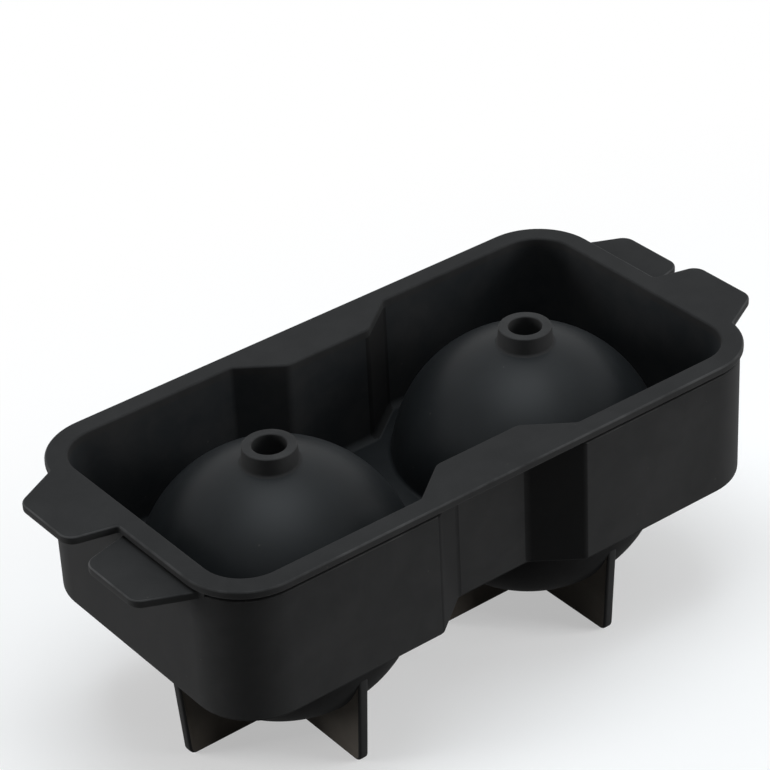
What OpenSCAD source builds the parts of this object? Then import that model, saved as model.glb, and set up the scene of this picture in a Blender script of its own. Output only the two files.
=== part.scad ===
// Two-cavity ice ball mould of moulded silicone.
// The lower half is a tray with two cups on finned feet. The upper half nests in it, rests on
// the lower wall with its rim, and closes the cups with two domes that are filled through necks.
// X runs along the tray, Y across it, Z up. The origin is on the floor, under the middle.

/* [Ice balls] */
// Diameter of an ice ball
ball_d = 60; // [45:1:75]
// Wall of the cups and domes
shell_t = 2.5; // [1.5:0.1:4]
// Free space between the two domes
ball_gap = 8.6; // [6:0.2:20]

/* [Fill necks] */
// Outside diameter of a fill neck at its top
neck_d = 12.4; // [10.6:0.2:18]
// How much wider a neck is where it leaves its dome's crown
neck_flare = 0.6; // [0:0.1:3]
// Diameter of the fill hole
fill_d = 8; // [5:0.5:9.5]
// Height of a neck above the crown of its dome
neck_rise = 3.6; // [1:0.1:12]

/* [Tray] */
// Height of the rim's top above the parting plane
tray_depth = 33.2; // [20:0.2:50]
// Free space between a dome and the long wall
side_room = 2.5; // [1:0.1:10]
// Free space between a dome and the end wall
end_room = 2.5; // [1:0.1:10]
// Radius of the rim's outer corners
rim_r = 15.5; // [10:0.5:24]
// Thickness of the rim flange
rim_t = 2.2; // [1.5:0.1:4]
// How far the rim stands out over the lower wall
rim_over = 0.8; // [0:0.1:3]

/* [Walls] */
// Thickness of the lower half's wall
lower_wall_t = 2.1; // [1.5:0.1:4]
// Thickness of the upper half's wall
upper_wall_t = 2; // [1.5:0.1:4]
// Gap all round between the two nested walls
nest_gap = 0.3; // [0.2:0.05:1]
// Thickness of the lower half's deck
lower_deck_t = 2; // [1.5:0.1:5]
// Thickness of the upper half's deck
upper_deck_t = 2.6; // [2:0.1:5]

/* [Waist] */
// Depth of the waist in each long side
waist_depth = 8; // [4:0.5:11]
// Length of the waist's flat, at the rim's outer edge
waist_flat = 19.8; // [10:0.2:24]
// Run of each slanted side of the waist, along the tray
waist_run = 10.6; // [6:0.2:14]
// Radius of the corners at the waist's flat
waist_r = 3; // [0.5:0.1:4]
// Radius of the corners at the waist's mouth
mouth_r = 2; // [0.5:0.1:4]

/* [Pull tabs] */
// Length of a tab beyond the rim
tab_l = 11.2; // [6:0.2:20]
// Width of a tab at its root
tab_root_w = 27.5; // [16:0.5:29]
// Width of a tab at its tip
tab_tip_w = 18.5; // [10:0.5:24]
// How far a tab's inner side leans out, from root to tip
tab_lean = 3; // [0:0.5:6]
// Thickness of a tab
tab_t = 2.2; // [1.5:0.1:4]
// Radius of a tab's tip corners
tab_tip_r = 3.5; // [1:0.5:4.5]
// Gap between the upper and the lower tab at one end
tab_gap = 0.4; // [0.4:0.2:4]
// Drop of the lower tabs below the top of the lower wall
tab_drop = 0.3; // [0.2:0.1:3]

/* [Feet] */
// Thickness of a foot's fins
foot_t = 2.5; // [1.5:0.1:5]
// Clear height under a cup
foot_drop = 3.3; // [1:0.1:15]
// How far a fin's outer edge is set in from the side of the cup
foot_inset = 1.5; // [1:0.5:12]
// How much narrower a fin's outer edge is at the floor than at the deck
foot_lean = 2.4; // [0:0.1:4]
// Radius of a fin's corners at the floor
foot_r = 2; // [0.5:0.1:3]

/* [Seal] */
// Width of the sealing bead round each cup's mouth
bead_w = 2; // [1:0.1:3]
// Distance from a cup's outside to the middle of its bead
bead_out = 1.7; // [1.6:0.1:2.4]
// Clearance between a bead and its groove
bead_gap = 0.3; // [0.2:0.05:0.6]

/* [Hidden] */
$fn = 96;
// Steps in each rounded corner of an outline
arc_steps = 10;
// Overlap that lets a cut run clear through a face
through = 1;

lower_tone = "#242526";
upper_tone = "#2a2b2d";

ball_r = ball_d / 2;
shell_r = ball_r + shell_t;
ball_x = shell_r + ball_gap / 2;
parting_z = foot_drop + shell_r;
rim_z = parting_z + tray_depth;
wall_top_z = rim_z - rim_t;

// Insets of the nested outlines from the rim's outer edge
lower_in = rim_over + lower_wall_t;
upper_out = lower_in + nest_gap;
upper_in = upper_out + upper_wall_t;

rim_x = ball_x + shell_r + end_room + upper_in;
rim_y = shell_r + side_room + upper_in;
waist_slant = atan(waist_depth / waist_run);
bead_r = shell_r + bead_out;

// Unit vector along v
function unit(v) = v / norm(v);

// Points of the arc that rounds one corner, or the corner itself where r is 0
function corner_arc(before, corner, after, r) =
    r <= 0 ? [corner] :
    let (
        u = unit(before - corner),
        v = unit(after - corner),
        half = acos(u * v) / 2,
        centre = corner + unit(u + v) * r / sin(half),
        start = corner + u * r / tan(half) - centre,
        from = atan2(start.y, start.x),
        turn = (cross(u, v) < 0 ? 1 : -1) * (180 - 2 * half)
    )
    [for (i = [0:arc_steps]) let (a = from + turn * i / arc_steps) centre + r * [cos(a), sin(a)]];

// A closed outline with each corner rounded by its own radius
function rounded(corners, radii) =
    let (n = len(corners))
    [for (i = [0:n - 1])
        each corner_arc(corners[(i + n - 1) % n], corners[i], corners[(i + 1) % n], radii[i])];

// The rim's plain outer outline
module rim_plan() {
    polygon(rounded(
        [[rim_x, -rim_y], [rim_x, rim_y], [-rim_x, rim_y], [-rim_x, -rim_y]],
        [for (i = [1:4]) rim_r]));
}

// The waisted outline of the walls, at an inset from the rim's outer edge
module tray_plan(inset) {
    x = rim_x - inset;
    y = rim_y - inset;
    flat_x = waist_flat / 2 + inset * tan(waist_slant / 2);
    mouth_x = flat_x + waist_run;
    flat_y = y - waist_depth;
    end_r = rim_r - inset;
    half_outline = [[x, -y], [x, y], [mouth_x, y], [flat_x, flat_y], [-flat_x, flat_y], [-mouth_x, y]];
    half_radii = [end_r, end_r, mouth_r, waist_r, waist_r, mouth_r];
    polygon(rounded(concat(half_outline, -half_outline), concat(half_radii, half_radii)));
}

// Flat slab of the shapes given, from height z and t thick
module slab(z, t) {
    translate([0, 0, z]) linear_extrude(t) children();
}

// Moves a shape to a ball's axis: side -1 is left, 1 is right
module at_ball(side) {
    translate([side * ball_x, 0, parting_z]) children();
}

// Everything under the parting plane, or above it
module half_space(up) {
    span = 2 * shell_r + 2 * through;
    translate([-span / 2, -span / 2, up ? 0 : -span]) cube(span);
}

// Ring on the parting plane for a sealing bead, or its groove where grow is the clearance
module bead_ring(grow) {
    rotate_extrude() translate([bead_r, 0]) circle(bead_w / 2 + grow);
}

// Outside of a fill neck, from inside the cavity up, about the ball's centre
module neck_body() {
    low_z = ball_r - shell_t;
    top_z = shell_r + neck_rise;
    low_d = neck_d + neck_flare * (top_z - low_z) / neck_rise;
    translate([0, 0, low_z]) cylinder(d1 = low_d, d2 = neck_d, h = top_z - low_z);
}

// Tab outline at the right-hand end: y_side says on which side of the middle it lies
module tab_plan(y_side) {
    near_y = tab_gap / 2;
    far_y = near_y + tab_root_w;
    tip_y = near_y + tab_lean;
    base_x = rim_x - rim_r;
    tip_x = rim_x + tab_l;
    outline = [
        [base_x, near_y], [rim_x, near_y], [tip_x, tip_y],
        [tip_x, tip_y + tab_tip_w], [rim_x, far_y], [base_x, far_y]
    ];
    scale_y = [for (p = outline) [p.x, y_side * p.y]];
    polygon(rounded(scale_y, [0, 0, tab_tip_r, tab_tip_r, 0, 0]));
}

// Plate of one pair of fins, across the ball's axis along X
module fin_pair() {
    deck_z = parting_z - lower_deck_t;
    top_x = shell_r - foot_inset;
    floor_x = top_x - foot_lean;
    rotate([90, 0, 0]) translate([0, 0, -foot_t / 2]) linear_extrude(foot_t)
        polygon(rounded(
            [[-floor_x, 0], [floor_x, 0], [top_x, deck_z], [-top_x, deck_z]],
            [foot_r, foot_r, 0, 0]));
}

// Lower half: tray wall
module lower_wall() {
    color(lower_tone) slab(parting_z - lower_deck_t, wall_top_z - parting_z + lower_deck_t)
        difference() {
            tray_plan(rim_over);
            tray_plan(lower_in);
        }
}

// Lower half: deck between the cups and the wall, with a sealing bead round each cup
module lower_deck() {
    color(lower_tone) difference() {
        union() {
            slab(parting_z - lower_deck_t, lower_deck_t) tray_plan(lower_in);
            for (side = [-1, 1])
                at_ball(side) intersection() {
                    bead_ring(0);
                    half_space(true);
                }
        }
        for (side = [-1, 1])
            at_ball(side) sphere(shell_r);
    }
}

// Lower half: cup for the lower part of an ice ball
module cup(side) {
    color(lower_tone) at_ball(side) difference() {
        intersection() {
            sphere(shell_r);
            half_space(false);
        }
        sphere(ball_r);
    }
}

// Lower half: cross of fins that a cup stands on
module foot(side) {
    color(lower_tone) difference() {
        translate([side * ball_x, 0, 0]) {
            fin_pair();
            rotate(90) fin_pair();
        }
        at_ball(side) sphere(shell_r);
    }
}

// Lower half: pull tab, just under the rim
module lower_tab(turn) {
    color(lower_tone) rotate(turn) slab(wall_top_z - tab_drop - tab_t, tab_t)
        difference() {
            tab_plan(1);
            tray_plan(rim_over);
        }
}

// Upper half: flange that rests on the lower wall
module rim_flange() {
    color(upper_tone) slab(wall_top_z, rim_t)
        difference() {
            rim_plan();
            tray_plan(upper_in);
        }
}

// Upper half: wall nested in the lower wall
module upper_wall() {
    color(upper_tone) slab(parting_z + upper_deck_t, wall_top_z - parting_z - upper_deck_t)
        difference() {
            tray_plan(upper_out);
            tray_plan(upper_in);
        }
}

// Upper half: deck that closes the lower deck, grooved for the sealing beads
module upper_deck() {
    color(upper_tone) difference() {
        slab(parting_z, upper_deck_t) tray_plan(upper_out);
        for (side = [-1, 1])
            at_ball(side) {
                sphere(shell_r);
                bead_ring(bead_gap);
            }
    }
}

// Upper half: dome over an ice ball, open at the crown for its neck
module dome(side) {
    color(upper_tone) at_ball(side) difference() {
        intersection() {
            sphere(shell_r);
            half_space(true);
        }
        sphere(ball_r);
        neck_body();
    }
}

// Upper half: neck that the water is poured through
module fill_neck(side) {
    color(upper_tone) at_ball(side) difference() {
        neck_body();
        sphere(ball_r);
        cylinder(d = fill_d, h = shell_r + neck_rise + through);
    }
}

// Upper half: pull tab, flush with the rim
module upper_tab(turn) {
    color(upper_tone) rotate(turn) slab(rim_z - tab_t, tab_t)
        difference() {
            tab_plan(-1);
            rim_plan();
        }
}

lower_wall();
lower_deck();
cup(-1);  // left_cup
cup(1);  // right_cup
foot(-1);  // left_foot
foot(1);  // right_foot
lower_tab(180);  // lower_left_tab
lower_tab(0);  // lower_right_tab
rim_flange();
upper_wall();
upper_deck();
dome(-1);  // left_dome
dome(1);  // right_dome
fill_neck(-1);  // left_fill_neck
fill_neck(1);  // right_fill_neck
upper_tab(180);  // upper_left_tab
upper_tab(0);  // upper_right_tab
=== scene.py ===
"""Dresses the packed ice ball mold: rounded silicone pieces, their finish, and a plain studio."""
from math import acos, asin, atan2, cos, hypot, pi, radians, sin, sqrt, tan

import bmesh
import bpy
import numpy as np
from bpy.props import FloatProperty, FloatVectorProperty, IntProperty, PointerProperty
from mathutils import Matrix, Vector


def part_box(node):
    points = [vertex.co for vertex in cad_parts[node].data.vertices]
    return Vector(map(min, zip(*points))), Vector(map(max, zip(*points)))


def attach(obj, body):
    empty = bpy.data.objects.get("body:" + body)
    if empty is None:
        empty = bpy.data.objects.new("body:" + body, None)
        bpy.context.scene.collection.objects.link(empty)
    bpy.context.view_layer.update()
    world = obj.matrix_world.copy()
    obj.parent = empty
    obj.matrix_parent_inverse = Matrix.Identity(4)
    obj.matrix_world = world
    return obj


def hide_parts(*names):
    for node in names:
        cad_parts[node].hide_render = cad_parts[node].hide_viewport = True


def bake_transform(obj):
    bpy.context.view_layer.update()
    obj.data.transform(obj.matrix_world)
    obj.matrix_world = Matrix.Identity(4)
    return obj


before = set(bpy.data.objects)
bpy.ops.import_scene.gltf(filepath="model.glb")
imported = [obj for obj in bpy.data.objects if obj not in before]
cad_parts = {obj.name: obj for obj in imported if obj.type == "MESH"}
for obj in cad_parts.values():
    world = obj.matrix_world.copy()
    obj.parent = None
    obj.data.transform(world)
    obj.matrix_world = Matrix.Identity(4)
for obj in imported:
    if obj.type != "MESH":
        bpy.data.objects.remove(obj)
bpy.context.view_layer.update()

bl_info = {
    "name": "Ice ball mold",
    "version": (1, 0, 0),
    "blender": (4, 5, 0),
    "location": "3D View > Sidebar > Ice mold",
    "description": "Makes the silicone pieces of a two-ball ice mold, and a studio for it",
    "category": "Add Mesh",
}

MM = 0.001
SIDES = {"left": -1, "right": 1}
RIM_LOW, RIM_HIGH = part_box("rim_flange")
CUP_LOW, CUP_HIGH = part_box("right_cup")
WALL_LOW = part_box("lower_wall")[0]
NECK_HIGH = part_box("right_fill_neck")[1]
DECK_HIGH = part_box("upper_deck")[1]

# Lengths that only keep the meshes clean
WELD = 1e-7  # points closer than this are one
HAIR = 0.01 * MM  # lets one face pass or miss another
GUARD = 0.04 * MM  # from a rounding to the point that keeps the next flat flat
OUTLINE_GUARD = 0.08 * MM
TAB_GUARD = 0.06 * MM
PLATE_GUARD = 0.05 * MM
NECK_GUARD = 0.03 * MM
FIN_WELD = 0.002 * MM
FAR = 0.01  # a point this far off only gives a direction

# Steps round a circle, and along a ball from its lip to its pole
DECK_STEPS, CUP_STEPS, DOME_STEPS, NECK_STEPS = 128, 128, 144, 112
BEAD_STEPS, BEAD_SECTION_STEPS = 144, 20
BALL_STEPS = 40

# Shapes
POLE = 1.55  # angle of a ball's last ring before its pole
LIP_ANGLE = 0.012  # angle of a ball that its lip takes up
COVE_ANGLE = 0.03  # angle left between a cove and the next ring of its ball
LIP_R = 0.3 * MM  # radius of the lips where cups, domes and bores end
BEND_START, BEND_STEP, BEND_LOOPS = 0.6 * MM, 0.45 * MM, 14
CREASE_ANGLE = radians(34)

# Finishes
SKIN = "satin_silicone"
INSIDE = "cool_inside_silicone"
DOME = "sleek_dome_silicone"
# painted shade: the underside is made darker and less shiny
UNDER_SHADE = "shaded_under_silicone"
# painted shade: the waist's slanted sides are made darker and less shiny
RECESS_SHADE = "shaded_recess_silicone"
CAVITY = "smooth_cavity_silicone"
# painted highlight: the rounded top edges are made paler
EDGE_HIGHLIGHT = "highlit_edge_silicone"
# painted highlight: the neck tops are made paler
NECK_HIGHLIGHT = "highlit_neck_silicone"
# painted bounce light: the fins' sides are made paler and warmer
FIN_BOUNCE = "bounce_lit_fin_silicone"
SILICONE_IOR = 1.41
GRAIN_STRENGTH = 0.35
BLOOM_SCALE, PATCH_SCALE, DUST_SCALE = 38.0, 160.0, 330.0
BLOOM_SHARE, PATCH_SHARE = 0.55, 0.35

# Studio
WHITE = (1.0, 1.0, 1.0, 1.0)
CAMERA_TURN = -37.0  # degrees from the front to the camera's side
LAMP_BASE, LAMP_AIM = 0.03, Vector((0.0, 0.0, 0.04))
SHADOW_SQUEEZE = (0.62, 1.0, 1.0)  # the patch of floor that keeps the shadow is longer along X
FLOOR_HALF = 6.0
HIGH_RISE = 60.0  # only lamps above this leave a highlight on the domes


def length(name, description, default):
    """A size in metres"""
    return FloatProperty(name=name, description=description, default=default, min=0.0,
                         precision=5, unit="LENGTH", subtype="DISTANCE")


def mm(name, description, default):
    """A size that is given in millimetres"""
    return length(name, description, default * MM)


def tone(name, description, default):
    """A colour, written in linear light"""
    return FloatVectorProperty(name=name, description=description, default=default,
                               size=3, min=0.0, max=1.0, subtype="COLOR")


def share(name, description, default):
    """A number from 0 to 1"""
    return FloatProperty(name=name, description=description, default=default,
                         min=0.0, max=1.0, subtype="FACTOR")


def strength(name, description, default, low=0.0):
    """A plain number with a lowest value"""
    return FloatProperty(name=name, description=description, default=default, min=low)


def direction(name, description, default):
    """A direction in space"""
    return FloatVectorProperty(name=name, description=description, default=default,
                               size=3, precision=5, subtype="XYZ")


class MoldSizes(bpy.types.PropertyGroup):
    """Sizes of the mold: the main ones come from the frame, the others are set here"""
    ball_r: mm("Ball radius", "Radius of an ice ball", 30.0)
    shell_r: length("Shell radius", "Outside radius of the cups and domes",
                    (CUP_HIGH[1] - CUP_LOW[1]) / 2)
    ball_x: length("Ball place", "Distance of a ball's axis from the middle",
                   (CUP_LOW[0] + CUP_HIGH[0]) / 2)
    parting_z: length("Parting height", "Height of the plane where the halves meet", CUP_HIGH[2])
    rim_x: length("Rim half length", "From the middle to the rim's end", RIM_HIGH[0])
    rim_y: length("Rim half width", "From the middle to the rim's long side", RIM_HIGH[1])
    rim_z: length("Rim height", "Height of the rim's top", RIM_HIGH[2])
    rim_base_z: length("Rim underside", "Height of the rim's underside", RIM_LOW[2])
    rim_r: mm("Rim corner radius", "Radius of the rim's outer corners", 15.5)
    deck_low_z: length("Lower deck underside", "Height of the lower deck's underside", WALL_LOW[2])
    deck_high_z: length("Upper deck top", "Height of the upper deck's top", DECK_HIGH[2])
    lower_out: mm("Lower wall outside", "Inset of the lower wall's outside from the rim", 0.8)
    lower_in: mm("Lower wall inside", "Inset of the lower wall's inside from the rim", 2.9)
    upper_out: mm("Upper wall outside", "Inset of the upper wall's outside from the rim", 3.2)
    upper_in: mm("Upper wall inside", "Inset of the upper wall's inside from the rim", 5.2)
    waist_depth: mm("Waist depth", "Depth of the waist in each long side", 8.0)
    waist_flat: mm("Waist flat", "Length of the waist's flat at the rim's edge", 19.8)
    waist_run: mm("Waist run", "Run of each slanted side of the waist", 10.6)
    waist_r: mm("Waist flat radius", "Radius of the corners at the waist's flat", 3.0)
    mouth_r: mm("Waist mouth radius", "Radius of the corners at the waist's mouth", 2.0)
    neck_top_z: length("Neck top", "Height of a fill neck's top", NECK_HIGH[2])
    neck_r: mm("Neck radius", "Outside radius of a neck at its top", 6.2)
    neck_flare: mm("Neck flare", "Gain in a neck's radius from its top to the crown's height", 0.3)
    fill_r: mm("Fill hole radius", "Radius of the fill hole", 4.0)
    tab_l: mm("Tab length", "Length of a tab beyond the rim", 11.2)
    tab_root_w: mm("Tab root", "Width of a tab at its root", 27.5)
    tab_tip_w: mm("Tab tip", "Width of a tab at its tip", 18.5)
    tab_lean: mm("Tab lean", "How far a tab's inner side leans out, from root to tip", 3.0)
    tab_tip_r: mm("Tab tip radius", "Radius of a tab's tip corners", 3.5)
    tab_root_r: mm("Tab root radius", "Radius where a tab leaves its wall", 1.0)
    tab_t: mm("Tab thickness", "Thickness of a tab", 2.2)
    tab_gap: mm("Tab gap", "Gap between the two tabs at one end", 0.4)
    tab_drop: mm("Tab drop", "Drop of the lower tabs below the rim's underside", 0.3)
    tab_bend: mm("Tab bend", "Length of a tab's root that bends", 4.5)
    foot_t: mm("Fin thickness", "Thickness of a foot's fins", 2.5)
    foot_floor: mm("Fin reach", "Reach of a fin at the floor, from the ball's axis", 28.6)
    foot_deck: mm("Fin top reach", "Reach of a fin's edge at the lower deck's height", 31.0)
    foot_r: mm("Fin corner radius", "Radius of a fin's corners at the floor", 2.0)
    fins: IntProperty(name="Fins", description="Fins under each cup", default=4, min=2, max=8)
    bead_ring_r: mm("Bead place", "Radius of the ring that a sealing bead follows", 34.2)
    bead_r: mm("Bead radius", "Radius of a sealing bead", 1.0)
    groove_r: mm("Groove radius", "Radius of the groove over a sealing bead", 1.3)
    seam_h: mm("Seam height", "Height of the dark seam under the rim", 0.95)
    seam_d: mm("Seam depth", "Depth of the dark seam under the rim", 1.1)
    rim_under_r: mm("Rim underside radius", "Radius along the rim's lower edge", 0.8)
    edge_r: mm("Edge radius", "Radius of the rim's and the tabs' edges", 0.55)
    foot_edge_r: mm("Fin edge radius", "Radius along a fin's edges", 0.6)
    floor_edge_r: mm("Wall foot radius", "Radius along the bottom edge of the lower wall", 1.2)
    cove_r: mm("Cove radius", "Radius where the upper wall meets the upper deck", 1.6)
    dome_cove_r: mm("Dome cove radius", "Radius where a dome meets the upper deck", 0.9)
    cup_cove_r: mm("Cup cove radius", "Radius where a cup meets the lower deck", 1.5)
    neck_cove_r: mm("Neck cove radius", "Radius where a neck meets its dome", 0.6)


class MoldFinish(bpy.types.PropertyGroup):
    """Finish of the silicone, with painted shade, painted highlights and painted bounce light on
    some parts
    """
    body_tone: tone("Silicone", "Colour of the silicone", (0.0178, 0.0179, 0.0182))
    bloom_tone: tone("Bloom", "Colour of the bloom on handled silicone", (0.0288, 0.0288, 0.029))
    dust_tone: tone("Dust", "Colour of the few dust specks", (0.04, 0.039, 0.037))
    # painted highlight: the paler tone of the rounded top edges
    edge_highlight_tone: tone("Edge bloom", "Colour of the bloom on the rubbed edges", (0.068, 0.068, 0.068))
    # painted highlight: the paler tone of the neck tops
    neck_highlight_tone: tone("Neck bloom", "Colour of the bloom on rubbed neck tops", (0.043, 0.043, 0.043))
    # painted bounce light: the paler, warmer tones of the fins' sides
    fin_bounce_tone: tone("Fins", "Colour of the dusty sides of the fins", (0.076, 0.068, 0.059))
    fin_bounce_bloom_tone: tone("Fin bloom", "Colour of the warm bloom on the fins", (0.112, 0.1, 0.087))
    skin_rough: share("Skin roughness", "Roughness of the outside", 0.74)
    inside_tone: tone("Upper wall", "Colour of the upper half's wall", (0.0152, 0.017, 0.0188))
    # painted shade: the darker, less shiny tone of the underside
    under_shade_tone: tone("Underside", "Colour of the underside", (0.007, 0.007, 0.007))
    under_shade_shine: share("Underside shine", "Specular level of the underside", 0.03)
    # painted shade: the darker, less shiny tones of the waist's slanted sides
    recess_shade_tone: tone("Recess", "Colour of the waist's slanted sides", (0.0098, 0.0098, 0.01))
    recess_shade_bloom_tone: tone("Recess bloom", "Colour of the bloom on the waist's slanted sides",
                            (0.0158, 0.0158, 0.016))
    recess_shade_shine: share("Recess shine", "Specular level of the waist's slanted sides", 0.06)
    dome_tone: tone("Domes", "Colour of the domes and the upper deck", (0.009, 0.01, 0.0108))
    dome_bloom_tone: tone("Dome bloom", "Colour of the bloom on the domes", (0.013, 0.0145, 0.0156))
    dome_rough: share("Dome roughness", "Roughness of the domes' outside", 0.43)
    dome_shine: share("Dome shine", "Specular level of the domes and cavities", 0.16)
    cavity_rough: share("Cavity roughness", "Roughness of the ball cavities", 0.42)
    shine: share("Shine", "Specular level of the silicone", 0.10)
    grain_size: mm("Grain size", "Size of the fine moulded grain", 0.35)


class MoldStudio(bpy.types.PropertyGroup):
    """Camera, floor and lamps"""
    camera_place: FloatVectorProperty(name="Camera place", description="Where the camera stands",
                                      default=(-0.34282, -0.45635, 0.43857), size=3,
                                      precision=5, unit="LENGTH", subtype="XYZ")
    camera_right: direction("Camera right", "Direction of the picture's right",
                            (0.78556, -0.61727, -0.04332))
    camera_up: direction("Camera up", "Direction of the picture's top", (0.36307, 0.40309, 0.84006))
    lens: strength("Lens", "Focal length for a 36 mm wide picture, in millimetres", 140.72, low=1.0)
    floor_tone: tone("Floor", "Colour of the floor in the picture", (0.97, 0.97, 0.97))
    bounce_tone: tone("Floor bounce", "Colour of the floor as it lights the mold",
                      (0.2, 0.198, 0.19))
    top_tone: tone("Top lamp colour", "Colour of the soft lamp overhead", (0.90, 0.96, 1.0))
    top_power: strength("Top lamp", "Power of the soft lamp overhead, in watts", 5.2)
    left_power: strength("Left lamp", "Power of the soft lamp at the left, in watts", 8.3)
    right_power: strength("Right lamp", "Power of the soft lamp at the right, in watts", 6.7)
    high_power: strength("High lamp", "Power of the soft lamp high at the right, in watts", 1.1)
    back_power: strength("Back lamp", "Power of the soft lamp high behind, in watts", 1.2)
    room_level: strength("Room level", "Strength of the even light of the room", 0.02)


# Outlines

def unit(v):
    """Unit vector along v"""
    return v / np.linalg.norm(v)


def corner_arc(before, corner, after, radius, steps):
    """Points of the arc that rounds one corner, or the corner itself where the radius is 0"""
    before, corner, after = (np.asarray(p, float) for p in (before, corner, after))
    if radius <= 0.0:
        return [corner]
    u, v = unit(before - corner), unit(after - corner)
    half = acos(max(-1.0, min(1.0, float(u @ v)))) / 2
    centre = corner + unit(u + v) * radius / sin(half)
    start = corner + u * radius / tan(half) - centre
    first = atan2(start[1], start[0])
    turn = (pi - 2 * half) * (1 if u[0] * v[1] - u[1] * v[0] < 0 else -1)
    angles = [first + turn * i / steps for i in range(steps + 1)]
    return [centre + radius * np.array([cos(a), sin(a)]) for a in angles]


def rounded(corners, radii, steps, guard):
    """Closed outline with rounded corners, and a point by each arc that keeps the flats flat"""
    corners = [np.asarray(c, float) for c in corners]
    count = len(corners)
    points = []
    for i, corner in enumerate(corners):
        before, after = corners[i - 1], corners[(i + 1) % count]
        arc = corner_arc(before, corner, after, radii[i], steps[i])
        if len(arc) > 1:
            arc = ([arc[0] + unit(before - corner) * guard] + arc
                   + [arc[-1] + unit(after - corner) * guard])
        points += arc
    return np.array(points)


def tray_outline(s, inset):
    """The walls' waisted outline, at an inset from the rim's outer edge"""
    x, y = s.rim_x - inset, s.rim_y - inset
    slant = atan2(s.waist_depth, s.waist_run)
    flat_x = s.waist_flat / 2 + inset * tan(slant / 2)
    mouth_x = flat_x + s.waist_run
    flat_y = y - s.waist_depth
    end_r = s.rim_r - inset
    half = np.array([(x, -y), (x, y), (mouth_x, y), (flat_x, flat_y), (-flat_x, flat_y),
                     (-mouth_x, y)])
    radii = [end_r, end_r, s.mouth_r, s.waist_r, s.waist_r, s.mouth_r]
    steps = [16, 16, 6, 8, 8, 6]
    return rounded(np.vstack([half, -half]), radii * 2, steps * 2, OUTLINE_GUARD)


def rim_outline(s, inset):
    """The rim's plain outer outline, with as many points as the waisted one"""
    points = tray_outline(s, inset)
    long_side = np.abs(points[:, 0]) < s.rim_x - s.rim_r - HAIR
    points[long_side, 1] = np.sign(points[long_side, 1]) * (s.rim_y - inset)
    return points


def inset_loop(points, inset):
    """An anticlockwise outline moved inwards, point by point"""
    step = np.roll(points, -1, axis=0) - points
    step /= np.linalg.norm(step, axis=1, keepdims=True)
    after = np.stack([-step[:, 1], step[:, 0]], axis=1)
    before = np.roll(after, 1, axis=0)
    both = 1.0 + np.sum(after * before, axis=1, keepdims=True)
    return points + inset * (after + before) / both


def wall_end(s, y, inset):
    """How far a wall's end reaches along X, at a place across the tray"""
    over = max(0.0, abs(y) - (s.rim_y - s.rim_r))
    return s.rim_x - s.rim_r + sqrt((s.rim_r - inset) ** 2 - over ** 2)


def sphere_arc(radius, first, last, steps):
    """Points of (radius, height) on a sphere, between two angles up from its middle"""
    angles = np.linspace(first, last, steps + 1)
    return [np.array([radius * cos(a), radius * sin(a)]) for a in angles]


# Meshes

def at_height(points, z):
    """A flat outline at a height"""
    return [(x, y, z) for x, y in points]


def circle(centre, radius, z, steps):
    """Points round an upright axis"""
    angles = [2 * pi * i / steps for i in range(steps)]
    return [(centre[0] + radius * cos(a), centre[1] + radius * sin(a), z) for a in angles]


def add_ring(bm, points):
    """New vertices for one ring"""
    return [bm.verts.new(p) for p in points]


def bridge(bm, lower, upper):
    """Quads between two rings of equally many vertices"""
    count = len(lower)
    for i in range(count):
        j = (i + 1) % count
        bm.faces.new((lower[i], lower[j], upper[j], upper[i]))


def loft(bm, rings, closed=True):
    """A skin over rings of equally many points"""
    rows = [add_ring(bm, ring) for ring in rings]
    for lower, upper in zip(rows, rows[1:] + rows[:1] if closed else rows[1:]):
        bridge(bm, lower, upper)
    return rows


def ring_edges(ring):
    """Edges along a closed ring of vertices"""
    pairs = zip(ring, ring[1:] + ring[:1])
    return [next(e for e in v.link_edges if e.other_vert(v) == after) for v, after in pairs]


def fill_between(bm, rings):
    """Flat triangles inside the first ring and outside the others"""
    edges = [e for ring in rings for e in ring_edges(ring)]
    bmesh.ops.triangle_fill(bm, use_beauty=True, use_dissolve=False, edges=edges)


def revolve(bm, profile, centre, steps):
    """A profile of (radius, height) turned round a ball's axis: points on the axis become poles"""
    rows = []
    for r, z in profile:
        if r < WELD:
            rows.append([bm.verts.new((centre[0], centre[1], centre[2] + z))])
        else:
            rows.append(add_ring(bm, circle(centre, r, centre[2] + z, steps)))
    for lower, upper in zip(rows, rows[1:] + rows[:1]):
        if len(lower) == 1 and len(upper) == 1:
            continue
        if len(lower) == 1 or len(upper) == 1:
            pole, ring = (lower[0], upper) if len(lower) == 1 else (upper[0], lower)
            for i in range(steps):
                bm.faces.new((pole, ring[i], ring[(i + 1) % steps]))
        else:
            bridge(bm, lower, upper)


def to_mesh(bm, name):
    """A closed mesh with outward faces, smooth but for its real edges"""
    bmesh.ops.remove_doubles(bm, verts=bm.verts, dist=WELD)
    bmesh.ops.recalc_face_normals(bm, faces=bm.faces)
    mesh = bpy.data.meshes.new(name)
    bm.to_mesh(mesh)
    bm.free()
    finish_shading(mesh)
    return mesh


def finish_shading(mesh):
    """Smooth shading, with creases kept sharp"""
    mesh.polygons.foreach_set("use_smooth", [True] * len(mesh.polygons))
    mesh.set_sharp_from_angle(angle=CREASE_ANGLE)


def add_object(name, data):
    """A new object in the scene"""
    made = bpy.data.objects.new(name, data)
    bpy.context.scene.collection.objects.link(made)
    return made


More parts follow.
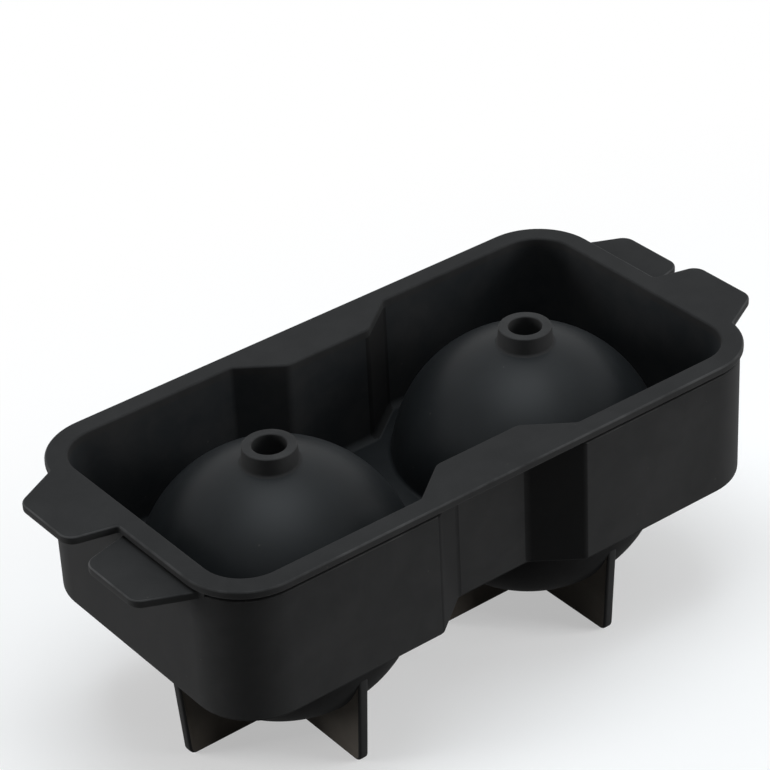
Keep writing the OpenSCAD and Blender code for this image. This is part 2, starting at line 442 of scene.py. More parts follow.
def add_piece(node, shape, body, finishes, name=None):
    """A finished piece, from a bmesh or a mesh, that stands for a node and rides on its body"""
    name = name or node + "_skin"
    mesh = to_mesh(shape, name) if isinstance(shape, bmesh.types.BMesh) else shape
    piece = add_object(name, mesh)
    mesh.materials.clear()
    for finish in finishes:
        mesh.materials.append(silicone(finish))
    if node:
        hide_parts(node)
    if body:
        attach(piece, body)
    return piece


def mark(piece, index, test):
    """Gives another of the piece's finishes to the faces whose centre and normal pass a test"""
    for face in piece.data.polygons:
        if test(face.center, face.normal):
            face.material_index = index


def mark_cavity(piece, s, side):
    """Gives the faces of a ball's cavity the second finish"""
    centre = Vector((side * s.ball_x, 0.0, s.parting_z))
    slack = 0.06 * MM
    reach = s.ball_r + slack
    mark(piece, 1, lambda c, n: (c - centre).length < reach)


def mark_top_edge(piece, low, outer_only):
    """Gives the rounded edge above a height the second finish, its painted highlight, all round or
    on the outside only
    """
    least, most = 0.2, 0.96
    mark(piece, 1, lambda c, n: c.z > low and least < n.z < most
         and (not outer_only or n.x * c.x + n.y * c.y > 0.0))


# Nodes

def new_tree(name, kind, inputs, outputs):
    """An empty node tree with named sockets: the tree, its inputs and its last node"""
    tree = bpy.data.node_groups.new(name, kind)
    for in_out, sockets in (("INPUT", inputs), ("OUTPUT", outputs)):
        for socket, socket_kind in sockets.items():
            tree.interface.new_socket(socket, in_out=in_out, socket_type="NodeSocket" + socket_kind)
    return tree, tree.nodes.new("NodeGroupInput").outputs, tree.nodes.new("NodeGroupOutput")


def set_inputs(tree, node, inputs):
    """Links each of a node's inputs to a socket, or sets it to a value"""
    for key, value in dict(inputs).items():
        if isinstance(value, bpy.types.NodeSocket):
            tree.links.new(value, node.inputs[key])
        else:
            node.inputs[key].default_value = value


def add_node(tree, kind, inputs=(), **settings):
    """The first output in use of a new node, which has these inputs and settings"""
    node = tree.nodes.new(kind)
    for name, value in settings.items():
        setattr(node, name, value)
    set_inputs(tree, node, inputs)
    return next((output for output in node.outputs if output.enabled), None)


def maths(tree, operation, *values):
    """Result of a Math node"""
    return add_node(tree, "ShaderNodeMath", enumerate(values), operation=operation)


def map_range(tree, value, smooth=False, **ends):
    """Result of a Map Range node: from_min and the like give its ends"""
    inputs = {name.replace("_", " ").title(): end for name, end in ends.items()}
    kind = "SMOOTHSTEP" if smooth else "LINEAR"
    return add_node(tree, "ShaderNodeMapRange", {"Value": value, **inputs}, interpolation_type=kind)


def colour_mix(tree, factor, *colours):
    """Mix of two colours by a mask: each is a socket or a plain colour"""
    first, second = (c if isinstance(c, bpy.types.NodeSocket) else (*c, 1.0) for c in colours)
    return add_node(tree, "ShaderNodeMix", {0: factor, 6: first, 7: second}, data_type="RGBA")


# Finish

def new_effect(name, output):
    """An empty shader effect: the tree, the sockets of its place and scale, and its last node"""
    tree, entry, leave = new_tree(name, "ShaderNodeTree", {"Vector": "Vector", "Scale": "Float"},
                                  {output: "Float"})
    return tree, {"Vector": entry["Vector"], "Scale": entry["Scale"]}, leave


def make_grain():
    """Fine moulded grain, as a height"""
    tree, place, leave = new_effect("moulded_grain", "Height")
    pebble = add_node(tree, "ShaderNodeTexNoise", {**place, "Detail": 3.0, "Roughness": 0.6})
    pits = add_node(tree, "ShaderNodeTexVoronoi", place, feature="SMOOTH_F1")
    set_inputs(tree, leave, {"Height": maths(tree, "MULTIPLY_ADD", pits, 0.45, pebble)})
    return tree


def make_bloom():
    """Soft uneven patches of pale bloom, as a mask"""
    tree, place, leave = new_effect("silicone_bloom", "Mask")
    cloud = add_node(tree, "ShaderNodeTexNoise",
                     {**place, "Detail": 5.0, "Roughness": 0.55, "Distortion": 0.6})
    spread = map_range(tree, cloud, smooth=True, from_min=0.3, from_max=0.72)
    set_inputs(tree, leave, {"Mask": spread})
    return tree


def make_dust():
    """Sparse fine dust specks, as a mask"""
    tree, place, leave = new_effect("dust_specks", "Mask")
    cells = add_node(tree, "ShaderNodeTexVoronoi", place)
    speck = map_range(tree, cells, from_min=0.10, from_max=0.04)
    pick = add_node(tree, "ShaderNodeSeparateColor", {"Color": cells.node.outputs["Color"]})
    few = maths(tree, "GREATER_THAN", pick, 0.9)
    set_inputs(tree, leave, {"Mask": maths(tree, "MULTIPLY", speck, few)})
    return tree


def finish_values(name):
    """Roughness, its spread, grain depth, body tone, bloom tone and shine of a finish"""
    f = bpy.context.scene.mold_finish
    satin = (f.skin_rough, 0.05, 0.012 * MM)
    highlit = (f.skin_rough - 0.1, 0.05, 0.008 * MM)
    return {
        # The outside, and the cooler wall of the upper half
        SKIN: (*satin, f.body_tone, f.bloom_tone, f.shine),
        INSIDE: (*satin, f.inside_tone, f.bloom_tone, f.shine),
        # Sleeker domes with the deck round them, and smoother cavities
        DOME: (f.dome_rough, 0.04, 0.008 * MM, f.dome_tone, f.dome_bloom_tone, f.dome_shine),
        CAVITY: (f.cavity_rough, 0.03, 0.004 * MM, f.body_tone, f.bloom_tone, f.dome_shine),
        # The underside and the waist's slanted sides, darker and less shiny as painted shade
        UNDER_SHADE: (*satin, f.under_shade_tone, f.body_tone, f.under_shade_shine),
        RECESS_SHADE: (*satin, f.recess_shade_tone, f.recess_shade_bloom_tone, f.recess_shade_shine),
        # Paler edges and neck tops as painted highlights, and paler warm fins as painted bounce
        # light from the floor
        EDGE_HIGHLIGHT: (*highlit, f.body_tone, f.edge_highlight_tone, f.shine),
        NECK_HIGHLIGHT: (*highlit, f.body_tone, f.neck_highlight_tone, f.shine),
        FIN_BOUNCE: (*satin, f.fin_bounce_tone, f.fin_bounce_bloom_tone, f.shine),
    }[name]


def silicone(name):
    """Black moulded silicone of one finish: fine grain, uneven bloom and a few dust specks"""
    done = bpy.data.materials.get(name)
    if done:
        return done
    rough, spread, grain_depth, body_tone, bloom_tone, shine = finish_values(name)
    f = bpy.context.scene.mold_finish
    material = bpy.data.materials.new(name)
    material.use_nodes = True
    tree = material.node_tree
    place = tree.nodes.new("ShaderNodeTexCoord").outputs["Object"]

    def effect(group_name, maker, scale):
        """Result of a shared effect, which is made at its first use"""
        group = bpy.data.node_groups.get(group_name) or maker()
        return add_node(tree, "ShaderNodeGroup", {"Vector": place, "Scale": scale}, node_tree=group)

    grain = effect("moulded_grain", make_grain, 1.0 / f.grain_size)
    cloud = effect("silicone_bloom", make_bloom, BLOOM_SCALE)
    patches = effect("silicone_bloom", make_bloom, PATCH_SCALE)
    dust = effect("dust_specks", make_dust, DUST_SCALE)
    most = maths(tree, "MULTIPLY", cloud, BLOOM_SHARE)
    bloom = maths(tree, "MULTIPLY_ADD", patches, PATCH_SHARE, most)
    skin = colour_mix(tree, bloom, body_tone, bloom_tone)
    bump = add_node(tree, "ShaderNodeBump",
                    {"Strength": GRAIN_STRENGTH, "Distance": grain_depth, "Height": grain})
    set_inputs(tree, tree.nodes["Principled BSDF"], {
        "Base Color": colour_mix(tree, dust, skin, f.dust_tone),
        "Roughness": map_range(tree, bloom, to_min=rough - spread, to_max=rough + spread),
        "IOR": SILICONE_IOR,
        "Specular IOR Level": shine,
        "Normal": bump,
    })
    return material


# Shapes that more than one piece uses

def make_wall(s, section):
    """A wall along the waisted outline, from a closed section of (inset, height)"""
    bm = bmesh.new()
    loft(bm, [at_height(tray_outline(s, inset), z) for inset, z in section])
    return bm


def make_deck(s, skirt, hole):
    """A deck from its skirt of (inset, height) to a hole of (radius, height) round each ball"""
    bm = bmesh.new()
    rows = loft(bm, [at_height(tray_outline(s, inset), z) for inset, z in skirt], closed=False)
    low_rings, high_rings = [rows[0]], [rows[-1]]
    for side in SIDES.values():
        axis = (side * s.ball_x, 0.0)
        rows = loft(bm, [circle(axis, r, z, DECK_STEPS) for r, z in hole], closed=False)
        low_rings.append(rows[0])
        high_rings.append(rows[-1])
    fill_between(bm, low_rings)
    fill_between(bm, high_rings)
    return bm


def turned_pieces(s, kind, body, profile, steps, finishes):
    """The piece that a profile gives on each ball's axis, with its side"""
    for name, side in SIDES.items():
        bm = bmesh.new()
        revolve(bm, profile, (side * s.ball_x, 0.0, s.parting_z), steps)
        yield side, add_piece("%s_%s" % (name, kind), bm, body, finishes)


def add_plate(bm, outline, low, high, edge):
    """A flat plate with rounded edges"""
    steps = 4
    turns = [pi / 2 * i / steps for i in range(steps + 1)]
    rounds = [(inset_loop(outline, edge * (1 - sin(a))), edge * (1 - cos(a)))
              for a in turns]
    inner = inset_loop(outline, edge + PLATE_GUARD)
    rings = [at_height(inner, low)] + [at_height(ring, low + lift) for ring, lift in rounds]
    rings += [at_height(outline, (low + high) / 2)]
    rings += [at_height(ring, high - lift) for ring, lift in reversed(rounds)]
    rings += [at_height(inner, high)]
    rows = loft(bm, rings, closed=False)
    bm.faces.new(rows[0])
    bm.faces.new(rows[-1])


def tab_outline(s, inset):
    """Anticlockwise outline of a tab at the right-hand end, on the far side, rooted in its wall"""
    near, far = s.tab_gap / 2, s.tab_gap / 2 + s.tab_root_w
    tip_y = near + s.tab_lean
    tip_x = s.rim_x + s.tab_l
    flare, depth = 1.5 * s.tab_root_r, 1.6 * MM
    base_x = s.rim_x - inset - depth
    root = [(wall_end(s, y, inset) - GUARD, y) for y in (near - flare, near, far, far + flare)]
    corners = [(base_x, near - flare), root[0], root[1], (tip_x, tip_y),
               (tip_x, tip_y + s.tab_tip_w), root[2], root[3], (base_x, far + flare)]
    radii = [0, 0, s.tab_root_r, s.tab_tip_r, s.tab_tip_r, s.tab_root_r, 0, 0]
    return rounded(corners, radii, [1, 1, 5, 10, 10, 5, 1, 1], TAB_GUARD)


def make_tab(s, inset, low, high, turn, mirror):
    """A pull tab with close loops across its root"""
    outline = tab_outline(s, inset)
    if mirror:
        outline = (outline * np.array([1.0, -1.0]))[::-1]
    bm = bmesh.new()
    add_plate(bm, outline, low, high, s.edge_r)
    start = s.rim_x - inset - BEND_START
    for i in range(BEND_LOOPS):
        bmesh.ops.bisect_plane(bm, geom=bm.verts[:] + bm.edges[:] + bm.faces[:], dist=WELD,
                               plane_co=(start + i * BEND_STEP, 0.0, 0.0), plane_no=(1.0, 0.0, 0.0))
    if turn:
        bmesh.ops.rotate(bm, verts=bm.verts, cent=(0.0, 0.0, 0.0),
                         matrix=Matrix.Rotation(pi, 3, "Z"))
    return bm


def add_tabs(s, half, inset, low, high, bend_z, mirror):
    """Both pull tabs of one half, at the ends of its wall"""
    for name, side in SIDES.items():
        bm = make_tab(s, inset, low, high, side < 0, mirror)
        piece = add_piece("%s_%s_tab" % (half, name), bm, None, [SKIN, EDGE_HIGHLIGHT])
        # painted highlight on the tabs' top edges
        mark_top_edge(piece, high - s.edge_r, False)
        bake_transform(piece)


def node_mesh(name, mesh, tree, values):
    """The plain mesh that a node tree makes of a mesh, with the tree's inputs set by name"""
    carrier = add_object(name, mesh)
    modifier = carrier.modifiers.new("shape", "NODES")
    modifier.node_group = tree
    for item in tree.interface.items_tree:
        if item.item_type == "SOCKET" and item.in_out == "INPUT" and item.name in values:
            modifier[item.identifier] = values[item.name]
    seen = carrier.evaluated_get(bpy.context.evaluated_depsgraph_get())
    made = bpy.data.meshes.new_from_object(seen)
    carrier.modifiers.clear()
    bpy.data.objects.remove(carrier)
    finish_shading(made)
    return made


def fin_ring_tree():
    """Nodes that set one fin round a ball's axis, as often as asked"""
    tree, entry, leave = new_tree("fin_ring", "GeometryNodeTree",
                                  {"Fin": "Geometry", "Fins": "Int", "Axis": "Vector"},
                                  {"Foot": "Geometry"})
    fins = entry["Fins"]
    points = add_node(tree, "GeometryNodePoints", {"Count": fins, "Position": entry["Axis"]})
    part = maths(tree, "DIVIDE", add_node(tree, "GeometryNodeInputIndex"), fins)
    turn = add_node(tree, "ShaderNodeCombineXYZ", {"Z": maths(tree, "MULTIPLY", part, 2 * pi)})
    place = add_node(tree, "GeometryNodeInstanceOnPoints",
                     {"Points": points, "Instance": entry["Fin"], "Rotation": turn})
    real = add_node(tree, "GeometryNodeRealizeInstances", {"Geometry": place})
    weld = add_node(tree, "GeometryNodeMergeByDistance", {"Geometry": real, "Distance": FIN_WELD})
    # painted bounce light: the fins take the paler, warmer fin finish
    paint = add_node(tree, "GeometryNodeSetMaterial", {"Geometry": weld, "Material": silicone(FIN_BOUNCE)})
    set_inputs(tree, leave, {"Foot": paint})
    return tree


def seal_bead_tree():
    """Nodes that sweep a round bead along a ring, at each of two ball axes"""
    tree, entry, leave = new_tree("seal_bead", "GeometryNodeTree",
                                  {"Blank": "Geometry", "Ring Radius": "Float",
                                   "Bead Radius": "Float", "Ball Pitch": "Float",
                                   "Height": "Float"}, {"Beads": "Geometry"})
    path = add_node(tree, "GeometryNodeCurvePrimitiveCircle",
                    {"Resolution": BEAD_STEPS, "Radius": entry["Ring Radius"]})
    section = add_node(tree, "GeometryNodeCurvePrimitiveCircle",
                       {"Resolution": BEAD_SECTION_STEPS, "Radius": entry["Bead Radius"]})
    sweep = add_node(tree, "GeometryNodeCurveToMesh", {"Curve": path, "Profile Curve": section})
    pitch = entry["Ball Pitch"]
    offset = add_node(tree, "ShaderNodeCombineXYZ", {"X": pitch})
    start = add_node(tree, "ShaderNodeCombineXYZ",
                     {"X": maths(tree, "MULTIPLY", pitch, -0.5), "Z": entry["Height"]})
    axes = add_node(tree, "GeometryNodeMeshLine",
                    {"Count": 2, "Start Location": start, "Offset": offset})
    place = add_node(tree, "GeometryNodeInstanceOnPoints", {"Points": axes, "Instance": sweep})
    real = add_node(tree, "GeometryNodeRealizeInstances", {"Geometry": place})
    paint = add_node(tree, "GeometryNodeSetMaterial",
                     {"Geometry": real, "Material": silicone(SKIN)})
    set_inputs(tree, leave, {"Beads": paint})
    return tree


# Lower half

class MOLD_OT_lower_wall(bpy.types.Operator):
    """Make the lower half's waisted wall"""
    bl_idname = "mold.lower_wall"
    bl_label = "Lower wall"

    def execute(self, context):
        s = context.scene.mold_sizes
        lip, cove, brow = 0.35 * MM, 0.9 * MM, 0.4 * MM
        out, inn = s.lower_out, s.lower_in
        bottom, top, floor = s.deck_low_z, s.rim_base_z, s.parting_z
        ledge = top - s.seam_h
        foot = corner_arc((out, top), (out, bottom), (inn, bottom), s.floor_edge_r, 6)
        corner = corner_arc((inn, top), (inn, floor), (inn + cove, floor), cove, 5)
        inner_lip = corner_arc((inn, floor), (inn, top), (out, top), lip, 3)
        outer_lip = corner_arc((inn, ledge), (out, ledge), (out, bottom), brow, 4)
        section = [(out, bottom + s.floor_edge_r + GUARD), *foot,
                   (out + s.floor_edge_r + GUARD, bottom), (inn, bottom),
                   (inn, floor), *corner[::-1], (inn, floor + cove + GUARD),
                   (inn, top - lip - GUARD), *inner_lip,
                   (out + s.seam_d, top), (out + s.seam_d, ledge),
                   *outer_lip, (out, ledge - brow - GUARD)]
        piece = add_piece("lower_wall", make_wall(s, section), "lower_half",
                          [SKIN, EDGE_HIGHLIGHT, UNDER_SHADE, RECESS_SHADE])
        # painted highlight on the ledge's outer top edge
        mark_top_edge(piece, ledge - brow, True)
        slant_tilt, under_tilt = 0.12, -0.15
        # painted shade: the waist's slanted sides outside take the darker recess finish
        mark(piece, 3, lambda c, n: n.y * c.y > 0.0 and abs(n.x) > slant_tilt
             and abs(c.x) < s.rim_x / 2)
        # painted shade: the wall's downward faces take the dark underside finish
        mark(piece, 2, lambda c, n: n.z < under_tilt)
        return {"FINISHED"}


class MOLD_OT_lower_deck(bpy.types.Operator):
    """Make the lower half's deck and the sealing beads on it"""
    bl_idname = "mold.lower_deck"
    bl_label = "Lower deck"

    def execute(self, context):
        s = context.scene.mold_sizes
        low, high = s.deck_low_z, s.parting_z
        low_r = sqrt(s.shell_r ** 2 - (high - low) ** 2)
        skirt, hole = [(s.lower_in, low), (s.lower_in, high)], [(low_r, low), (s.shell_r, high)]
        piece = add_piece("lower_deck", make_deck(s, skirt, hole), "lower_half", [SKIN, UNDER_SHADE])
        under_tilt = -0.5
        # painted shade: the deck's underside takes the dark underside finish
        mark(piece, 1, lambda c, n: n.z < under_tilt)
        beads = node_mesh("seal_beads", bpy.data.meshes.new("bead_blank"), seal_bead_tree(),
                          {"Ring Radius": s.bead_ring_r, "Bead Radius": s.bead_r,
                           "Ball Pitch": 2 * s.ball_x, "Height": s.parting_z})
        add_piece(None, beads, "lower_half", [SKIN], name="seal_beads")
        return {"FINISHED"}


class MOLD_OT_cups(bpy.types.Operator):
    """Make the two cups"""
    bl_idname = "mold.cups"
    bl_label = "Cups"

    def execute(self, context):
        s = context.scene.mold_sizes
        drop = s.parting_z - s.deck_low_z
        cove = s.cup_cove_r
        foot_r = sqrt((s.shell_r + cove) ** 2 - (drop + cove) ** 2)
        meet = -asin((drop + cove) / (s.shell_r + cove))
        lip = corner_arc((s.ball_r, -FAR), (s.ball_r, 0.0), (s.shell_r, 0.0), LIP_R, 4)
        inside = sphere_arc(s.ball_r, -POLE, -LIP_ANGLE, BALL_STEPS)
        outside = sphere_arc(s.shell_r, meet - COVE_ANGLE, -POLE, BALL_STEPS)
        profile = [(0.0, -s.ball_r), *inside, *lip, (s.shell_r, 0.0), (s.shell_r, -0.9 * drop),
                   (foot_r + 0.2 * MM, -drop + HAIR)]
        profile += [(foot_r + cove * cos(a), -drop - cove + cove * sin(a))
                    for a in np.linspace(pi / 2, pi + meet, 8)]
        profile += [*outside, (0.0, -s.shell_r)]
        # painted shade: the cups' outside takes the dark underside finish
        cups = turned_pieces(s, "cup", "lower_half", profile, CUP_STEPS, [UNDER_SHADE, CAVITY])
        for side, piece in cups:
            mark_cavity(piece, s, side)
        return {"FINISHED"}


class MOLD_OT_feet(bpy.types.Operator):
    """Make the cross of fins under each cup"""
    bl_idname = "mold.feet"
    bl_label = "Feet"

    def execute(self, context):
        s = context.scene.mold_sizes
        sink = 1.1 * MM
        sunk_r = s.shell_r - sink
        lean = (s.foot_deck - s.foot_floor) / s.deck_low_z
        top_z = next(z for z in np.linspace(0.0, s.deck_low_z, 400)
                     if hypot(s.foot_floor + lean * z, z - s.parting_z) < sunk_r)
        top = (s.foot_floor + lean * top_z, top_z)
        first = atan2(top[1] - s.parting_z, top[0])
        crown = [(r, z + s.parting_z) for r, z in sphere_arc(sunk_r, first, -pi / 2, 26)]
        toe = corner_arc((0.0, 0.0), (s.foot_floor, 0.0), top, s.foot_r, 8)
        side = [(s.foot_floor + lean * z, z) for z in np.linspace(toe[-1][1], top_z, 12)[1:-1]]
        bm = bmesh.new()
        add_plate(bm, np.array([(0.0, 0.0), *toe, *side, *crown]), -s.foot_t / 2, s.foot_t / 2,
                  s.foot_edge_r)
        for vert in bm.verts:
            x, y, z = vert.co
            vert.co = (max(x, abs(z)), -z, max(0.0, y))  # mitred where the four fins meet
        mitre = [face for face in bm.faces
                 if all(abs(v.co.x - abs(v.co.y)) < WELD for v in face.verts)]
        bmesh.ops.delete(bm, geom=mitre, context="FACES")
        fin = to_mesh(bm, "fin")
        tree = fin_ring_tree()
        flank = s.foot_t / 2 - 0.02 * MM
        for name, sign in SIDES.items():
            x = sign * s.ball_x
            mesh = node_mesh(name + "_fins", fin, tree, {"Fins": s.fins, "Axis": (x, 0.0, 0.0)})
            # painted bounce light on the fins' sides; their edge strips keep the plain skin
            piece = add_piece(name + "_foot", mesh, "lower_half", [FIN_BOUNCE, SKIN])
            mark(piece, 1, lambda c, n: min(abs(c.x - x), abs(c.y)) < flank)
        return {"FINISHED"}


class MOLD_OT_lower_tabs(bpy.types.Operator):
    """Make the lower half's two pull tabs"""
    bl_idname = "mold.lower_tabs"
    bl_label = "Lower tabs"

    def execute(self, context):
        s = context.scene.mold_sizes
        high = s.rim_base_z - s.tab_drop
        add_tabs(s, "lower", s.lower_out, high - s.tab_t, high, high, False)
        return {"FINISHED"}


# Upper half

class MOLD_OT_rim(bpy.types.Operator):
    """Make the rim flange"""
    bl_idname = "mold.rim"
    bl_label = "Rim flange"

    def execute(self, context):
        s = context.scene.mold_sizes
        section = rounded([(0.0, s.rim_base_z), (0.0, s.rim_z), (s.upper_in, s.rim_z),
                           (s.upper_in, s.rim_base_z)],
                          [s.rim_under_r, s.edge_r, s.edge_r, 0.0], [6, 6, 6, 1], GUARD)
        half = s.upper_in / 2
        bm = bmesh.new()
        loft(bm, [at_height((rim_outline if inset < half else tray_outline)(s, inset), z)
                  for inset, z in section])
        piece = add_piece("rim_flange", bm, "upper_half", [SKIN, EDGE_HIGHLIGHT])
        # painted highlight on the rim's outer top edge
        mark_top_edge(piece, s.rim_z - s.edge_r, True)
        return {"FINISHED"}


class MOLD_OT_upper_wall(bpy.types.Operator):
    """Make the upper half's wall, with a cove down to the deck"""
    bl_idname = "mold.upper_wall"
    bl_label = "Upper wall"

    def execute(self, context):
        s = context.scene.mold_sizes
        out, inn, low, high = s.upper_out, s.upper_in, s.deck_high_z, s.rim_base_z
        cove = corner_arc((inn, high), (inn, low), (inn + s.cove_r, low), s.cove_r, 7)
        section = [(out, low), (out, high), (inn, high), (inn, low + s.cove_r + GUARD), *cove]
        piece = add_piece("upper_wall", make_wall(s, section), "upper_half", [INSIDE, RECESS_SHADE])
        slant_tilt = -0.03
        # painted shade: the waist's slanted sides inside take the darker recess finish
        mark(piece, 1, lambda c, n: n.y * c.y < 0.0 and n.x * n.y < slant_tilt
             and abs(c.x) < s.rim_x / 2)
        return {"FINISHED"}


class MOLD_OT_upper_deck(bpy.types.Operator):
    """Make the upper half's deck, grooved underneath for the beads"""
    bl_idname = "mold.upper_deck"
    bl_label = "Upper deck"

    def execute(self, context):
        s = context.scene.mold_sizes
        low, high = s.parting_z, s.deck_high_z
        edge = 1.25 * MM
        out = s.upper_out
        turn = corner_arc((out + FAR, low), (out, low), (out, high), edge, 6)
        skirt = [(out + edge + 0.03 * MM, low), *turn, (out, high)]
        groove = [(s.bead_ring_r + s.groove_r * cos(a), low + s.groove_r * sin(a))
                  for a in np.linspace(0.0, pi, 13)]
        high_r = sqrt(s.shell_r ** 2 - (high - low) ** 2)
        bm = make_deck(s, skirt, groove + [(s.shell_r, low), (high_r, high)])
        add_piece("upper_deck", bm, "upper_half", [DOME])
        return {"FINISHED"}


def neck_line(s):
    """Height of a neck's top over the parting plane, and where its side meets both spheres"""
    top = s.neck_top_z - s.parting_z
    rise = top - s.shell_r

    def radius(z):
        """Radius of the neck's side at a height"""
        return s.neck_r + s.neck_flare * (top - z) / rise

    meets = []
    for ball in (s.shell_r, s.ball_r):
        z = ball
        for _ in range(20):
            z = sqrt(ball ** 2 - radius(z) ** 2)
        meets.append(np.array((radius(z), z)))
    return top, meets[0], meets[1]


class MOLD_OT_domes(bpy.types.Operator):
    """Make the two domes"""
    bl_idname = "mold.domes"
    bl_label = "Domes"

    def execute(self, context):
        s = context.scene.mold_sizes
        _, outer, inner = neck_line(s)
        rise = s.deck_high_z - s.parting_z
        cove = s.dome_cove_r
        foot_r = sqrt((s.shell_r + cove) ** 2 - (rise + cove) ** 2)
        meet = asin((rise + cove) / (s.shell_r + cove))
        first, last = (atan2(p[1], p[0]) for p in (outer, inner))
        profile = sphere_arc(s.shell_r, first, meet + COVE_ANGLE, BALL_STEPS + 4)
        profile += [(foot_r + cove * cos(a), rise + cove + cove * sin(a))
                    for a in np.linspace(pi + meet, 1.5 * pi, 8)]
        profile += [(foot_r + 0.15 * MM, rise - HAIR), (s.shell_r - 0.05 * MM, 0.9 * rise),
                    (s.shell_r, 0.0)]
        profile += corner_arc((s.shell_r, 0.0), (s.ball_r, 0.0), (s.ball_r, FAR), LIP_R, 4)
        profile += sphere_arc(s.ball_r, LIP_ANGLE, last, BALL_STEPS)
        domes = turned_pieces(s, "dome", "upper_half", profile, DOME_STEPS, [DOME, CAVITY])
        for side, piece in domes:
            mark_cavity(piece, s, side)
        return {"FINISHED"}


class MOLD_OT_fill_necks(bpy.types.Operator):
    """Make the two fill necks"""
    bl_idname = "mold.fill_necks"
    bl_label = "Fill necks"

    def execute(self, context):
        s = context.scene.mold_sizes
        top, outer, inner = neck_line(s)
        lip = 0.32 * MM
        crown = np.array((s.neck_r, top))
        bore_low = np.array((s.fill_r, sqrt(s.ball_r ** 2 - s.fill_r ** 2)))
        slope = np.array((outer[1], -outer[0])) / s.shell_r
        root = corner_arc(outer + slope * 5 * MM, outer, crown, s.neck_cove_r, 7)
        skirt_r = root[0][0] + 0.25 * MM
        skirt = (skirt_r, sqrt((s.shell_r - HAIR) ** 2 - skirt_r ** 2))
        side = unit(crown - outer) * NECK_GUARD
        across, up = np.array((NECK_GUARD, 0.0)), np.array((0.0, NECK_GUARD))
        rim = corner_arc(outer, crown, (s.fill_r, top), lip, 5)
        brink = corner_arc(crown, (s.fill_r, top), bore_low, lip, 5)
        foot = corner_arc((s.fill_r, top), bore_low, inner, LIP_R, 4)
        profile = [skirt, *root, root[-1] + side, rim[0] - side, *rim, rim[-1] - across,
                   brink[0] + across, *brink, brink[-1] - up, foot[0] + up, *foot]
        first, last = (atan2(p[1], p[0]) for p in (foot[-1], inner))
        profile += sphere_arc(s.ball_r, first - 0.004, last, 4)
        profile += [outer + np.array((0.05 * MM, -0.2 * MM))]
        top_tilt = 0.3
        necks = turned_pieces(s, "fill_neck", "upper_half", profile, NECK_STEPS, [SKIN, NECK_HIGHLIGHT])
        for _, piece in necks:
            # painted highlight: the upward faces of the neck tops take the paler neck finish
            mark(piece, 1, lambda c, n: c.z > s.neck_top_z - lip and n.z > top_tilt)
        return {"FINISHED"}


class MOLD_OT_upper_tabs(bpy.types.Operator):
    """Make the upper half's two pull tabs, flush with the rim"""
    bl_idname = "mold.upper_tabs"
    bl_label = "Upper tabs"

    def execute(self, context):
        s = context.scene.mold_sizes
        high = s.rim_z - 0.004 * MM  # just below the rim's top, so that the two don't share a face
        add_tabs(s, "upper", 0.0, s.rim_z - s.tab_t, high, s.rim_z, True)
        return {"FINISHED"}


# Studio

def soft_lamp(name, turn, rise, reach, size, power, colour=(1.0, 1.0, 1.0)):
    """A square soft lamp: turn from the camera's side and rise in degrees, distance and size"""
    data = bpy.data.lights.new(name, "AREA")
    data.shape = "SQUARE"
    data.size = size
    data.energy = power
    data.color = colour
    lamp = add_object(name, data)
    a, e = radians(turn + CAMERA_TURN), radians(rise)
    lamp.location = (reach * sin(a) * cos(e), -reach * cos(a) * cos(e),
                     reach * sin(e) + LAMP_BASE)
    lamp.rotation_euler = (LAMP_AIM - lamp.location).to_track_quat("-Z", "Y").to_euler()
    lamp.visible_camera = False
    lamp.visible_glossy = rise > HIGH_RISE


def shown_rays(tree):
    """1 for rays that show the background: straight to the camera, reflected or through glass"""
    rays = tree.nodes.new("ShaderNodeLightPath").outputs
    seen = maths(tree, "MAXIMUM", rays["Is Camera Ray"], rays["Is Glossy Ray"])
    return maths(tree, "MAXIMUM", seen, rays["Is Transmission Ray"])


def floor_material(studio):
    """Pale floor that reads as white and keeps the mold's shadow"""
    material = bpy.data.materials.new("pale_floor")
    material.use_nodes = True
    tree = material.node_tree
    tree.nodes.clear()
    shown = shown_rays(tree)
    matt = add_node(tree, "ShaderNodeBsdfDiffuse",
                    {"Color": colour_mix(tree, shown, studio.bounce_tone, studio.floor_tone)})
    glow = add_node(tree, "ShaderNodeEmission", {"Color": WHITE})
    place = tree.nodes.new("ShaderNodeTexCoord").outputs["Object"]
    squeeze = add_node(tree, "ShaderNodeVectorMath", {0: place, 1: SHADOW_SQUEEZE},
                       operation="MULTIPLY")
    distance = add_node(tree, "ShaderNodeVectorMath", {0: squeeze}, operation="LENGTH")
    fade = map_range(tree, distance, smooth=True,
                     from_min=0.04, from_max=0.21, to_min=0.45, to_max=1.0)
    blend = add_node(tree, "ShaderNodeMixShader",
                     {"Fac": maths(tree, "MULTIPLY", shown, fade), 1: matt, 2: glow})
    add_node(tree, "ShaderNodeOutputMaterial", {"Surface": blend})
    material.cycles.emission_sampling = "NONE"
    return material


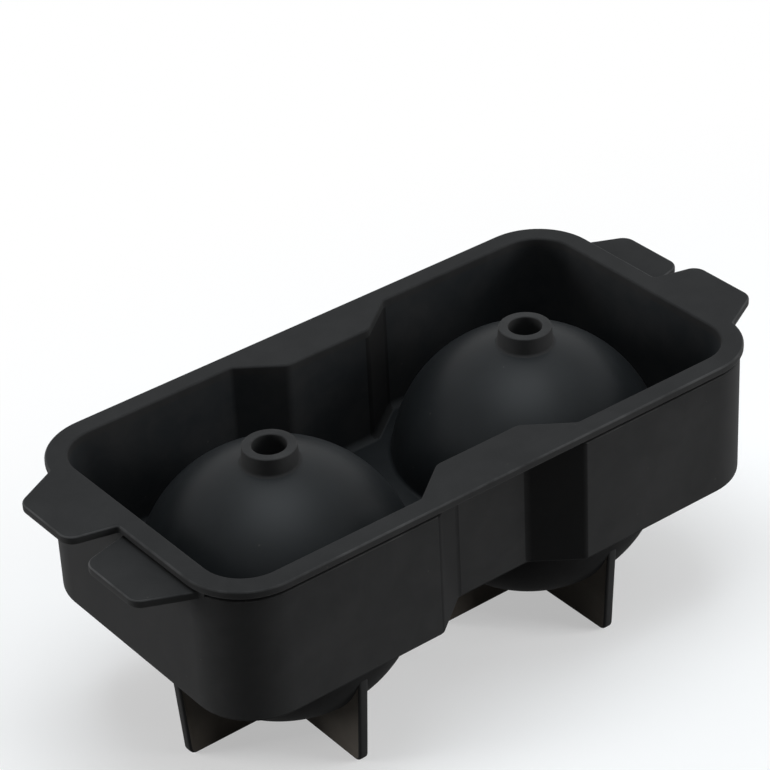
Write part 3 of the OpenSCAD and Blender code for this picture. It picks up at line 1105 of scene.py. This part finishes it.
class MOLD_OT_studio(bpy.types.Operator):
    """Set up the camera, the pale floor and the soft lamps"""
    bl_idname = "mold.studio"
    bl_label = "Studio"

    def execute(self, context):
        scene = context.scene
        studio = scene.mold_studio
        scene.view_settings.view_transform = "Standard"

        data = bpy.data.cameras.new("photo_camera")
        data.sensor_fit = "HORIZONTAL"
        data.sensor_width = 36.0
        data.lens = studio.lens
        data.clip_start, data.clip_end = 0.02, 50.0
        camera = add_object("photo_camera", data)
        right, up = Vector(studio.camera_right).normalized(), Vector(studio.camera_up)
        back = right.cross(up).normalized()
        up = back.cross(right)
        turn = Matrix((right, up, back)).transposed().to_4x4()
        camera.matrix_world = Matrix.Translation(Vector(studio.camera_place)) @ turn
        scene.camera = camera

        bm = bmesh.new()
        bmesh.ops.create_grid(bm, x_segments=1, y_segments=1, size=FLOOR_HALF)
        mesh = bpy.data.meshes.new("studio_floor")
        bm.to_mesh(mesh)
        bm.free()
        mesh.materials.append(floor_material(studio))
        floor = add_object("studio_floor", mesh)

        soft_lamp("top_lamp", 0.0, 88.0, 0.9, 0.6, studio.top_power, studio.top_tone)
        soft_lamp("left_lamp", -90.0, 9.0, 0.9, 0.5, studio.left_power)
        soft_lamp("right_lamp", 84.0, 12.0, 0.9, 0.45, studio.right_power)
        soft_lamp("high_lamp", 85.0, 45.0, 0.9, 0.6, studio.high_power, studio.top_tone)
        soft_lamp("back_lamp", 180.0, 75.0, 1.0, 0.7, studio.back_power, studio.top_tone)

        world = bpy.data.worlds.new("studio_room")
        scene.world = world
        world.use_nodes = True
        tree = world.node_tree
        level = map_range(tree, shown_rays(tree), to_min=studio.room_level, to_max=1.0)
        set_inputs(tree, tree.nodes["Background"], {"Color": WHITE, "Strength": level})
        return {"FINISHED"}


GROUPS = {"mold_sizes": MoldSizes, "mold_finish": MoldFinish, "mold_studio": MoldStudio}
PIECES = (
    MOLD_OT_lower_wall, MOLD_OT_lower_deck, MOLD_OT_cups, MOLD_OT_feet, MOLD_OT_lower_tabs,
    MOLD_OT_rim, MOLD_OT_upper_wall, MOLD_OT_upper_deck, MOLD_OT_domes, MOLD_OT_fill_necks,
    MOLD_OT_upper_tabs, MOLD_OT_studio,
)


class MOLD_PT_panel(bpy.types.Panel):
    """Lists the mold's pieces"""
    bl_idname = "MOLD_PT_panel"
    bl_label = "Ice ball mold"
    bl_space_type = "VIEW_3D"
    bl_region_type = "UI"
    bl_category = "Ice mold"

    def draw(self, context):
        for piece in PIECES:
            self.layout.operator(piece.bl_idname)
        for name, kind in GROUPS.items():
            box = self.layout.box()
            for field in kind.__annotations__:
                box.prop(getattr(context.scene, name), field)


CLASSES = (*GROUPS.values(), *PIECES, MOLD_PT_panel)


def register():
    """Add the classes and their settings"""
    for cls in CLASSES:
        bpy.utils.register_class(cls)
    for name, kind in GROUPS.items():
        setattr(bpy.types.Scene, name, PointerProperty(type=kind))


def unregister():
    """Take the classes and their settings away"""
    for name in GROUPS:
        delattr(bpy.types.Scene, name)
    for cls in reversed(CLASSES):
        bpy.utils.unregister_class(cls)


def main():
    """Make every piece in order"""
    register()
    bpy.ops.mold.lower_wall()
    bpy.ops.mold.lower_deck()
    bpy.ops.mold.cups()
    bpy.ops.mold.feet()
    bpy.ops.mold.lower_tabs()
    bpy.ops.mold.rim()
    bpy.ops.mold.upper_wall()
    bpy.ops.mold.upper_deck()
    bpy.ops.mold.domes()
    bpy.ops.mold.fill_necks()
    bpy.ops.mold.upper_tabs()
    bpy.ops.mold.studio()


if __name__ == "__main__":
    main()
